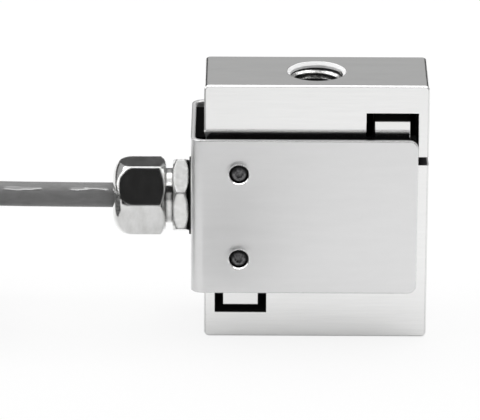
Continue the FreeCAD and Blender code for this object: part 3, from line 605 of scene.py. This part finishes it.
def all_finishes():
    """Every finish, by the record's slot name."""
    return {
        "nickel_steel": block_finish(
            finish("ground_nickel", (0.885, 0.885, 0.88), (0.845, 0.845, 0.84), 1.0,
                   (0.10, 0.14, 0.04), (0.08, 0.5, 1.6), 0.03, edge=0.2)),
        "cut_steel": finish("cut_thread", (0.86, 0.86, 0.85), (0.3, 0.3, 0.295), 1.0,
                            (0.12, 0.24, 0.04), (0.9, 0.9, 3.0), 0.6, edge=0.05),
        "cover_sheet": finish("satin_sheet", (0.85, 0.85, 0.85), (0.825, 0.825, 0.825), 0.85,
                              (0.36, 0.40, 0.03), (0.1, 0.6, 0.5), 0.04, edge=0.6, polish=0.1),
        "black_rubber": finish("soft_rubber", (0.004, 0.004, 0.004), (0.0015, 0.0015, 0.0015), 0.0,
                               (0.8, 0.9, 0.1), (2.0, 2.0, 2.0), 0.4, Specular_IOR_Level=0.02),
        "washer_rubber": finish("washer_rubber", (0.007, 0.007, 0.007), (0.003, 0.003, 0.003),
                                0.0, (0.5, 0.7, 0.1), (2.5, 2.5, 2.5), 0.4,
                                Specular_IOR_Level=0.1),
        "gland_nickel": finish("bright_nickel", (0.82, 0.82, 0.815), (0.68, 0.68, 0.67), 1.0,
                               (0.05, 0.10, 0.04), (0.5, 0.2, 0.2), 0.06, edge=0.75),
        # Near-black painted along the hex's and neck's edges: painted dark reflection
        "gland_body": finish("body_nickel", (0.76, 0.76, 0.755), (0.64, 0.64, 0.63), 1.0,
                             (0.05, 0.10, 0.04), (0.8, 0.8, 0.8), 0.1, edge=0.95,
                             painted_edge=(0.01, 0.01, 0.01)),
        "nylon": plastic("natural_nylon", (0.82, 0.80, 0.74), (0.74, 0.72, 0.65)),
        # Black band toward each head's edge is a painted dark reflection
        "screw_black": painted_dark_rim(
            finish("black_oxide", (0.26, 0.26, 0.265), (0.03, 0.03, 0.032), 0.5,
                   (0.3, 0.5, 0.08), (1.6, 1.6, 1.6), 0.5), SCREWS, 1.2, 1.8,
            (0.003, 0.003, 0.003)),
        "screw_cup": finish("plated_cup", (0.98, 0.98, 0.98), (0.95, 0.95, 0.95), 1.0,
                            (0.12, 0.2, 0.04), (1.2, 1.2, 1.2), 0.04, edge=0.12),
        "bush_steel": finish("turned_steel", (0.60, 0.60, 0.60), (0.50, 0.50, 0.50), 1.0,
                             (0.25, 0.35, 0.05), (1.0, 4.0, 1.0), 0.1),
        "circuit_board": patterned(patterned(
            plastic("green_lacquer", (0.02, 0.20, 0.07), (0.015, 0.13, 0.05)),
            "TexBrick", 0.5, 0.6, (0.05, 0.32, 0.12), 0.3, 0.0, Scale=350.0),
            "TexVoronoi", 0.26, 0.22, (0.66, 0.66, 0.64), 0.25, 1.0, Scale=420.0),
        "resistor_ceramic": plastic("chip_ceramic", (0.05, 0.05, 0.055), (0.02, 0.02, 0.022)),
        "enamelled_wire": finish("copper_enamel", (0.50, 0.19, 0.07), (0.40, 0.13, 0.04), 0.9,
                                 (0.25, 0.35, 0.05), (2.0, 2.0, 2.0), 0.1),
        "gauge_foil": patterned(
            plastic("gauge_film", (0.66, 0.38, 0.09), (0.55, 0.30, 0.07)),
            "TexWave", 0.45, 0.55, (0.55, 0.52, 0.48), 0.3, 1.0, Scale=700.0),
        "cable_jacket": gloss_streaks(
            finish("grey_jacket", (0.24, 0.24, 0.24), (0.195, 0.195, 0.195), 0.0,
                   (0.28, 0.40, 0.1), (0.3, 0.8, 0.8), 0.3, Specular_IOR_Level=0.15,
                   Coat_Roughness=0.05, Coat_IOR=2.5)),
        "tie_nylon": ribbed(
            plastic("tie_nylon", (0.04, 0.04, 0.04), (0.02, 0.02, 0.02)), 0.9, 0.15),
        "tinned_copper": finish("tinned_strands", (0.66, 0.66, 0.64), (0.45, 0.45, 0.44), 1.0,
                                (0.25, 0.4, 0.05), (3.0, 3.0, 3.0), 0.3),
        "core_red": plastic("red_core", (0.60, 0.03, 0.02), (0.50, 0.02, 0.02)),
        "core_black": plastic("black_core", (0.04, 0.04, 0.04), (0.02, 0.02, 0.02)),
        "core_green": plastic("green_core", (0.03, 0.30, 0.08), (0.02, 0.24, 0.05)),
        "core_white": plastic("white_core", (0.82, 0.82, 0.80), (0.74, 0.74, 0.72)),
    }


def dress_cad(frame):
    """Each CAD node takes the finish of its material slot."""
    for part in frame["record"]["subparts"]:
        node = frame["nodes"][part["node"]]
        material = finishes[part["material_slot"]]
        if part["node"] == "gland_body":
            material = finishes["gland_body"]
        if part["node"].startswith("bare_core"):
            material = stripped(material.copy(), part["node"])
        for slot in node.material_slots:
            slot.link = "OBJECT"
            slot.material = material


# ------------------------------------------------------------------ studio
TABLE_REACH = 9.0
TABLE_DROP = 0.0001
TABLE_WHITE = 0.85              # share of plain white in what the camera sees of the table
MIRRORED_WHITE = 0.32           # and, of that, what reflections see
LAMP_WATTS = 42
ROOM_GREY = 0.45


def stage_card(name, corners, material, seen=True):
    """Flat stage piece from its corners, in metres."""
    mesh = bpy.data.meshes.new(name)
    mesh.from_pydata(corners, [], [tuple(range(len(corners)))])
    card = bpy.data.objects.new(name, mesh)
    bpy.context.collection.objects.link(card)
    mesh.materials.append(material)
    card.visible_camera = seen
    return card


def floor_material():
    """White table top that keeps a soft shadow, deeper in reflections."""
    material = bpy.data.materials.new("table_top")
    material.use_nodes = True
    tree = material.node_tree
    shader = tree.nodes["Principled BSDF"]
    shader.inputs["Base Color"].default_value = (0.9, 0.9, 0.9, 1)
    shader.inputs["Roughness"].default_value = 0.7
    shader.inputs["Specular IOR Level"].default_value = 0.2
    path = put(tree, "LightPath")
    glow = put(tree, "Emission", Strength=1.0)
    mix = put(tree, "MixShader")
    mirrored = calc(tree, "MULTIPLY", path.outputs["Is Glossy Ray"], MIRRORED_WHITE)
    share = calc(tree, "MAXIMUM", path.outputs["Is Camera Ray"], mirrored)
    share = calc(tree, "MAXIMUM", share, path.outputs["Is Transmission Ray"])
    tree.links.new(calc(tree, "MULTIPLY", share, TABLE_WHITE), mix.inputs["Fac"])
    tree.links.new(shader.outputs[0], mix.inputs[1])
    tree.links.new(glow.outputs[0], mix.inputs[2])
    tree.links.new(mix.outputs[0], tree.nodes["Material Output"].inputs["Surface"])
    return material


def card_material(name, tone, glow=0.0):
    """Matt card or, with a glow, a lit diffuser."""
    material = bpy.data.materials.new(name)
    material.use_nodes = True
    shader = material.node_tree.nodes["Principled BSDF"]
    shader.inputs["Base Color"].default_value = (tone, tone, tone, 1)
    shader.inputs["Emission Color"].default_value = (1, 1, 1, 1)
    shader.inputs["Emission Strength"].default_value = glow
    shader.inputs["Roughness"].default_value = 0.9
    shader.inputs["Specular IOR Level"].default_value = 0.0
    return material


def soft_box(name, place, target, width, height, watts):
    """Area lamp that looks at a point."""
    lamp = bpy.data.lights.new(name, "AREA")
    lamp.shape = "RECTANGLE"
    lamp.size = width
    lamp.size_y = height
    lamp.energy = watts
    box = bpy.data.objects.new(name, lamp)
    bpy.context.collection.objects.link(box)
    box.location = place
    box.rotation_euler = (Vector(target) - Vector(place)).to_track_quat("-Z", "Y").to_euler()
    return box


def studio():
    """White table, grey room, overhead soft box, flags and lit diffusers for the reflections."""
    stage_card("table", [(x * TABLE_REACH, y * TABLE_REACH, -TABLE_DROP)
                         for x, y in ((-1, -1), (1, -1), (1, 1), (-1, 1))], floor_material())
    black = card_material("black_flag", 0.03)
    stage_card("front_flag", [(-1.2, -0.95, 0.62), (1.2, -0.95, 0.62), (1.2, -0.6, 1.25),
                              (-1.2, -0.6, 1.25)], black, seen=False)
    stage_card("left_flag", [(-0.9, -0.7, 0.0), (-0.9, 0.7, 0.0), (-0.9, 0.7, 0.1),
                             (-0.9, -0.7, 0.1)], black, seen=False)
    stage_card("left_card", [(-0.9, -0.7, 0.12), (-0.9, 0.4, 0.12), (-0.9, 0.4, 0.75),
                             (-0.9, -0.7, 0.75)], card_material("left_card", 0.5, 1.0), seen=False)
    stage_card("side_flag", [(-0.2, -0.08, 0.0), (-0.085, -0.3, 0.0), (-0.085, -0.3, 0.14),
                             (-0.2, -0.08, 0.14)], black, seen=False)
    table_flag = stage_card("table_flag", [(-0.0285, -0.12, 0.0005), (-0.014, -0.12, 0.0005),
                                           (-0.014, -0.052, 0.0005), (-0.0285, -0.052, 0.0005)],
                            black, seen=False)
    table_flag.visible_shadow = False
    table_flag.visible_diffuse = False
    grey = card_material("grey_flag", 0.10)
    stage_card("back_flag", [(-1.6, 0.9, 0.0), (1.6, 0.9, 0.0), (1.6, 0.9, 0.24),
                             (-1.6, 0.9, 0.24)], grey, seen=False)
    stage_card("scrim", [(-0.35, -0.4, 1.42), (0.35, -0.4, 1.42), (0.35, 0.2, 1.42),
                         (-0.35, 0.2, 1.42)], card_material("scrim", 0.2, 0.78), seen=False)
    soft_box("overhead", (0, 0.1, 1.5), (0, 0.1, 0), 3.0, 2.2, LAMP_WATTS)
    world = bpy.data.worlds.new("room")
    world.use_nodes = True
    background = world.node_tree.nodes["Background"]
    background.inputs["Color"].default_value = (ROOM_GREY, ROOM_GREY, ROOM_GREY, 1)
    bpy.context.scene.world = world
    bpy.context.scene.view_settings.view_transform = "Standard"


def camera():
    """Long lens, a little above the cell and square to its front."""
    lens = bpy.data.cameras.new("camera")
    lens.lens = CAMERA_LENS
    lens.sensor_width = 36
    lens.clip_start = 0.01
    lens.clip_end = 50
    ahead = Vector((sin(CAMERA_YAW) * cos(CAMERA_PITCH), cos(CAMERA_YAW) * cos(CAMERA_PITCH),
                    -sin(CAMERA_PITCH)))
    level = Vector((cos(CAMERA_YAW), -sin(CAMERA_YAW), 0))
    rise = level.cross(ahead)
    right = level * cos(CAMERA_ROLL) + rise * sin(CAMERA_ROLL)
    up = rise * cos(CAMERA_ROLL) - level * sin(CAMERA_ROLL)
    turn = Matrix((right, up, -ahead)).transposed().to_4x4()
    view = bpy.data.objects.new("camera", lens)
    bpy.context.collection.objects.link(view)
    view.matrix_world = Matrix.Translation([c * MM for c in CAMERA_PLACE]) @ turn
    bpy.context.scene.camera = view


# ------------------------------------------------------------------ the scene
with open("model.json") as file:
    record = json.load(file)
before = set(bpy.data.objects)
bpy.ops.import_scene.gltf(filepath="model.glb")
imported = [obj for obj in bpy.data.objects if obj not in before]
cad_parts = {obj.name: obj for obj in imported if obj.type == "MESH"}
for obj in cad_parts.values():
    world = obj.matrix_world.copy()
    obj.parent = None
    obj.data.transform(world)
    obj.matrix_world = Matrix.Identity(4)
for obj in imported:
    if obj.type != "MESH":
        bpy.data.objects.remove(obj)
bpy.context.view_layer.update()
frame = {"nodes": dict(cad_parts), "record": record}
shared = {"grain": make_grain(), "smudges": make_smudges(), "edges": make_edges()}
finishes = all_finishes()
dress_cad(frame)
camera()
studio()

lead = cable()
ends = ["hank_tie_front", "hank_tie_back"]
ends += ["bare_core_" + colour for colour in ("red", "black", "green", "white")]
[frame["nodes"][name] for name in ends] + [twisted_screen()]

thread_ridge("top_thread", 43.975, 60.35)
thread_ridge("bottom_thread", 0.65, 17.025)
for level in ("upper", "lower"):
    dished_cup("screw_cup_front_" + level, -1)
    dished_cup("screw_cup_back_" + level, 1)
